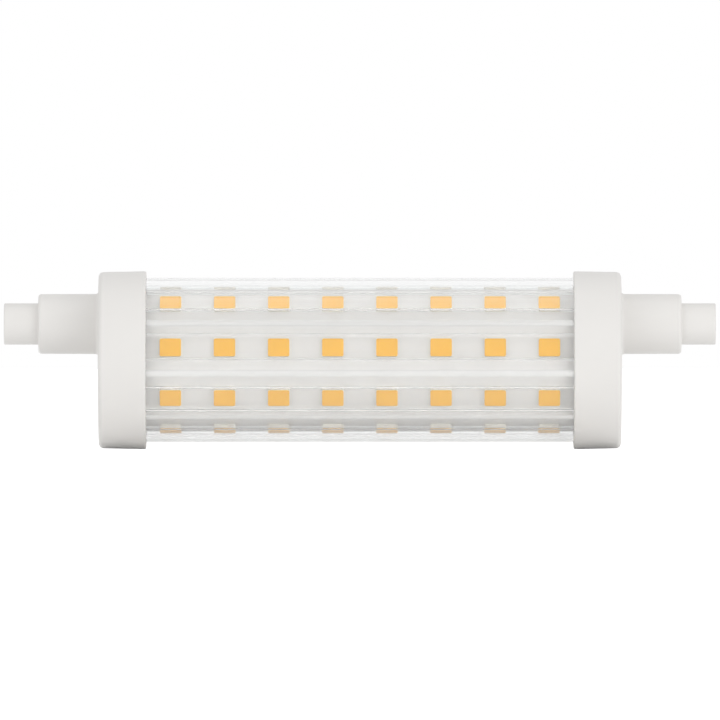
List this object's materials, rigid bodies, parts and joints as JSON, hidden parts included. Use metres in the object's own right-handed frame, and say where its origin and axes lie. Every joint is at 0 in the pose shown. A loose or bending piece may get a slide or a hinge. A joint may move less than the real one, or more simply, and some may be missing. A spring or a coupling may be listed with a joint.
{
  "type": "linear led bulb",
  "caption": "Double-ended linear LED lamp: clear tube over a faceted board with rows of LEDs, and white end caps whose offset necks carry recessed contacts.",
  "frame": {"origin": "middle of the clear tube, on its axis, which is also the middle of the bulb's box", "axes": "+X along the bulb, +Z towards the side that the necks are set off to, -Y to the front"},
  "size_m": [0.118, 0.0294, 0.0295],
  "materials": {
    "clear_polycarbonate": "clear, polished",
    "white_moulding": "satin",
    "white_board": "white solder mask, satin",
    "led_base": "satin",
    "phosphor": "silicone, satin",
    "nickel_plate": "satin plate",
    "wire_insulation": "silicone, matte",
    "tinned_pin": "bright tin",
    "insulating_film": "satin film",
    "glass_epoxy": "green mask, satin",
    "can_aluminium": "sleeved can",
    "film_capacitor_case": "gloss",
    "ferrite": "matte",
    "fuse_coating": "lacquered",
    "ceramic_chip": "glazed",
    "black_epoxy": "moulded, matte"
  },
  "bodies": {
    "root": {"bridge_rectifier": "black_epoxy", "bulk_capacitor": "can_aluminium", "chip_resistors": "ceramic_chip", "contact_left": "nickel_plate", "contact_right": "nickel_plate", "cover_tube": "clear_polycarbonate", "driver_board": "glass_epoxy", "driver_chip": "black_epoxy", "end_cap_left": "white_moulding", "end_cap_right": "white_moulding", "film_capacitor": "film_capacitor_case", "filter_choke": "ferrite", "freewheel_diode": "black_epoxy", "fuse_resistor": "fuse_coating", "insulating_liner": "insulating_film", "lead_wire_left": "wire_insulation", "lead_wire_right": "wire_insulation", "led_bases_row_1": "led_base", "led_bases_row_2": "led_base", "led_bases_row_3": "led_base", "led_bases_row_4": "led_base", "led_bases_row_5": "led_base", "led_bases_row_6": "led_base", "led_bases_row_7": "led_base", "led_bases_row_8": "led_base", "led_bases_row_9": "led_base", "led_board": "white_board", "led_feed_negative": "tinned_pin", "led_feed_positive": "tinned_pin", "led_phosphor_row_1": "phosphor", "led_phosphor_row_2": "phosphor", "led_phosphor_row_3": "phosphor", "led_phosphor_row_4": "phosphor", "led_phosphor_row_5": "phosphor", "led_phosphor_row_6": "phosphor", "led_phosphor_row_7": "phosphor", "led_phosphor_row_8": "phosphor", "led_phosphor_row_9": "phosphor", "power_choke": "ferrite"}
  },
  "joints": []
}
